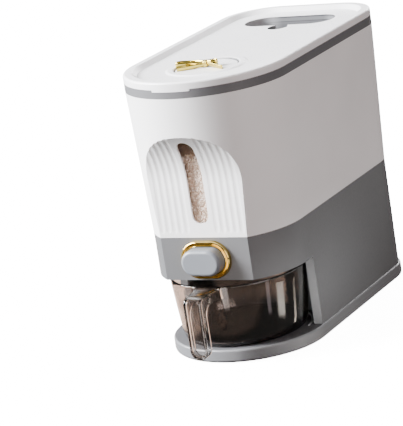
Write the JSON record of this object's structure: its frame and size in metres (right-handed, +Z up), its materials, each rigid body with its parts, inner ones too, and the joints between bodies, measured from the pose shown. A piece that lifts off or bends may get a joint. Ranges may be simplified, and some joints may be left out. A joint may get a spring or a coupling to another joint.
{
  "type": "rice dispenser",
  "caption": "Free-standing D-plan rice dispenser: hopper with window, push button gate, pull-out round measuring cup and lift-off lid with a bow knob.",
  "frame": {"origin": "centre of the bounding box in plan, on the surface the feet stand on", "axes": "+Z up, -Y towards the front where the cup pulls out, +X to the right seen from the front; X = 0 is the mirror plane of the housing"},
  "size_m": [0.17, 0.3594, 0.2992],
  "materials": {
    "plate_grey": "satin light grey",
    "housing_grey": "satin mid grey",
    "liner_grey": "satin grey, moulded",
    "white_plastic": "satin white",
    "lid_white": "satin white",
    "collar_grey": "satin dark grey",
    "button_grey": "satin blue grey",
    "gold": "polished gold plating",
    "smoked_plastic": "clear smoked, glossy",
    "clear_plastic": "clear, glossy",
    "rubber": "matt",
    "silicone": "matt, translucent grey",
    "steel": "plain",
    "spring_steel": "drawn wire"
  },
  "bodies": {
    "housing": {"base_plate": "plate_grey", "housing_shell": "housing_grey", "bay_liner": "liner_grey", "seam_frame": "white_plastic", "hopper_shell": "white_plastic", "window_lens": "clear_plastic", "hopper_funnel": "white_plastic", "outlet_chute": "liner_grey", "collar_ring": "collar_grey", "button_ring": "gold", "button_guide": "liner_grey", "gate_pin": "steel", "gate_spring": "spring_steel", "button_spring": "spring_steel", "rubber_feet": "rubber", "base_screws": "steel", "chute_screws": "steel"},
    "lid": {"lid_panel": "lid_white", "lid_gasket": "silicone", "cap_bezel": "lid_white"},
    "basket": {"desiccant_basket": "white_plastic"},
    "cap": {"vent_cap": "lid_white", "cap_seal": "silicone", "bow_loops": "gold", "bow_knot": "gold", "bow_screw": "steel"},
    "cup": {"measuring_cup": "smoked_plastic"},
    "button": {"button_cap": "button_grey", "button_stem": "liner_grey"},
    "gate": {"gate_flap": "liner_grey"}
  },
  "joints": [
    {"name": "cup_slide", "type": "slide", "parent": "housing", "child": "cup", "axis": [0, -1, 0], "range_m": [0, 0.16]},
    {"name": "button_press", "type": "slide", "parent": "housing", "child": "button", "axis": [0, 1, 0], "range_m": [0, 0.008], "stiffness_N_per_m": 320, "springref_m": -0.005, "deforming": ["button_spring"]},
    {"name": "gate_swing", "type": "hinge", "parent": "housing", "child": "gate", "pos_m": [0, -0.106, 0.093], "axis": [-1, 0, 0], "range_deg": [0, 31], "deforming": ["gate_spring"]},
    {"name": "lid_lift", "type": "slide", "parent": "housing", "child": "lid", "axis": [0, 0, 1], "range_m": [0, 0.12]},
    {"name": "basket_lift", "type": "slide", "parent": "lid", "child": "basket", "axis": [0, 0, 1], "range_m": [0, 0.05]},
    {"name": "cap_twist", "type": "hinge", "parent": "basket", "child": "cap", "pos_m": [0, -0.0755, 0.2861], "axis": [0, 0, 1], "range_deg": [0, 40]}
  ],
  "couplings": [
    {"joint": "gate_swing", "follows": "button_press", "rad_per_m": 66.667}
  ]
}
